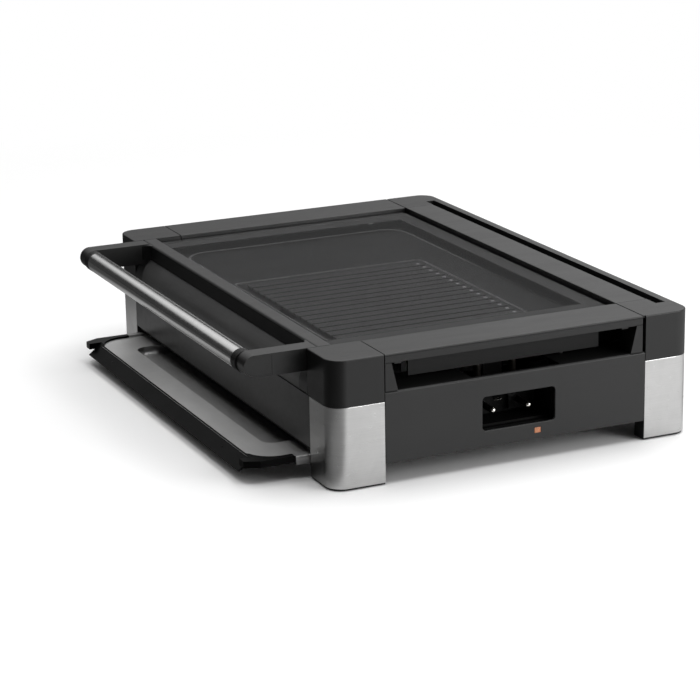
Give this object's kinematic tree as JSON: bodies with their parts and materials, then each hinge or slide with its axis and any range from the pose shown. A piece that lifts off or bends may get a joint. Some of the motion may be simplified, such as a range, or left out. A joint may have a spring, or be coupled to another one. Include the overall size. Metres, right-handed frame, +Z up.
{
  "type": "electric table grill",
  "caption": "Low electric table grill with a glass lid on a bar handle, a lift-off ribbed plate with side grips and a pull-out drip tray under a black and steel housing.",
  "frame": {"origin": "on the table, in the middle of the whole outline seen from above, with the tray drawn out as pictured", "axes": "+Z up, +X towards the side with the power inlet, -Y towards the lid handle and the drip tray"},
  "size_m": [0.546, 0.4282, 0.1205],
  "materials": {
    "black_plastic": "fine grained satin black",
    "leg_plastic": "fine grained black",
    "brushed_sleeve": "brushed, satin",
    "foot_rubber": "matt black",
    "plated_screws": "zinc plated",
    "panel_plastic": "fine grained anthracite",
    "front_metal": "satin grey",
    "bar_plastic": "fine grained satin black",
    "tub_plastic": "matt black",
    "bright_aluminium": "rolled, bright",
    "lamp_amber": "translucent amber",
    "board_green": "lacquered board",
    "switch_plastic": "dark grey",
    "plate_coating": "cast, with a black non-stick coating",
    "heater_steel": "heat tinted steel",
    "grip_plastic": "fine grained satin black",
    "terminal_plastic": "heat resistant moulding",
    "pin_metal": "nickel washed brass",
    "lid_glass": "dark tinted tempered glass",
    "arm_plastic": "satin black",
    "handle_metal": "fine brushed tube",
    "tray_metal": "satin sheet",
    "trim_plastic": "satin black"
  },
  "bodies": {
    "base": {"corner_block_front_left": "black_plastic", "corner_block_front_right": "black_plastic", "corner_block_rear_left": "black_plastic", "corner_block_rear_right": "black_plastic", "foot_pads": "foot_rubber", "front_panel": "front_metal", "front_strip": "bar_plastic", "heat_reflector": "bright_aluminium", "housing_tub": "tub_plastic", "indicator_board": "board_green", "indicator_lens": "lamp_amber", "leg_core_front_left": "leg_plastic", "leg_core_front_right": "leg_plastic", "leg_core_rear_left": "leg_plastic", "leg_core_rear_right": "leg_plastic", "leg_screws": "plated_screws", "leg_sleeve_front_left": "brushed_sleeve", "leg_sleeve_front_right": "brushed_sleeve", "leg_sleeve_rear_left": "brushed_sleeve", "leg_sleeve_rear_right": "brushed_sleeve", "plate_switch": "switch_plastic", "rear_bar": "bar_plastic", "rear_panel": "panel_plastic", "side_panel_left": "panel_plastic", "side_panel_right": "panel_plastic", "strip_end_left": "bar_plastic", "strip_end_right": "bar_plastic", "tray_guide_left": "tub_plastic", "tray_guide_right": "tub_plastic", "wiring_cover_left": "tub_plastic", "wiring_cover_right": "tub_plastic"},
    "plate": {"grill_plate": "plate_coating", "heating_element": "heater_steel", "side_grip_right": "grip_plastic", "side_grip_left": "grip_plastic", "grip_screws": "plated_screws", "terminal_block": "terminal_plastic", "terminal_pins": "pin_metal", "earth_contact": "pin_metal", "terminal_bracket": "heater_steel"},
    "lid": {"lid_glass": "lid_glass", "lid_front_bar": "bar_plastic", "handle_arm_right": "arm_plastic", "handle_arm_left": "arm_plastic", "arm_cap_right": "arm_plastic", "arm_cap_left": "arm_plastic", "handle_ring_right": "arm_plastic", "handle_ring_left": "arm_plastic", "handle_tube": "handle_metal", "handle_screws": "plated_screws", "lid_bumpers": "foot_rubber"},
    "tray": {"drip_tray": "tray_metal", "tray_fascia": "trim_plastic", "fascia_screws": "plated_screws"}
  },
  "joints": [
    {"name": "plate_lift", "type": "slide", "parent": "base", "child": "plate", "axis": [0, 0, 1], "range_m": [0, 0.12]},
    {"name": "lid_lift", "type": "slide", "parent": "plate", "child": "lid", "axis": [0, 0, 1], "range_m": [0, 0.12]},
    {"name": "tray_slide", "type": "slide", "parent": "base", "child": "tray", "axis": [0, -1, 0], "range_m": [-0.047, 0.18]}
  ]
}
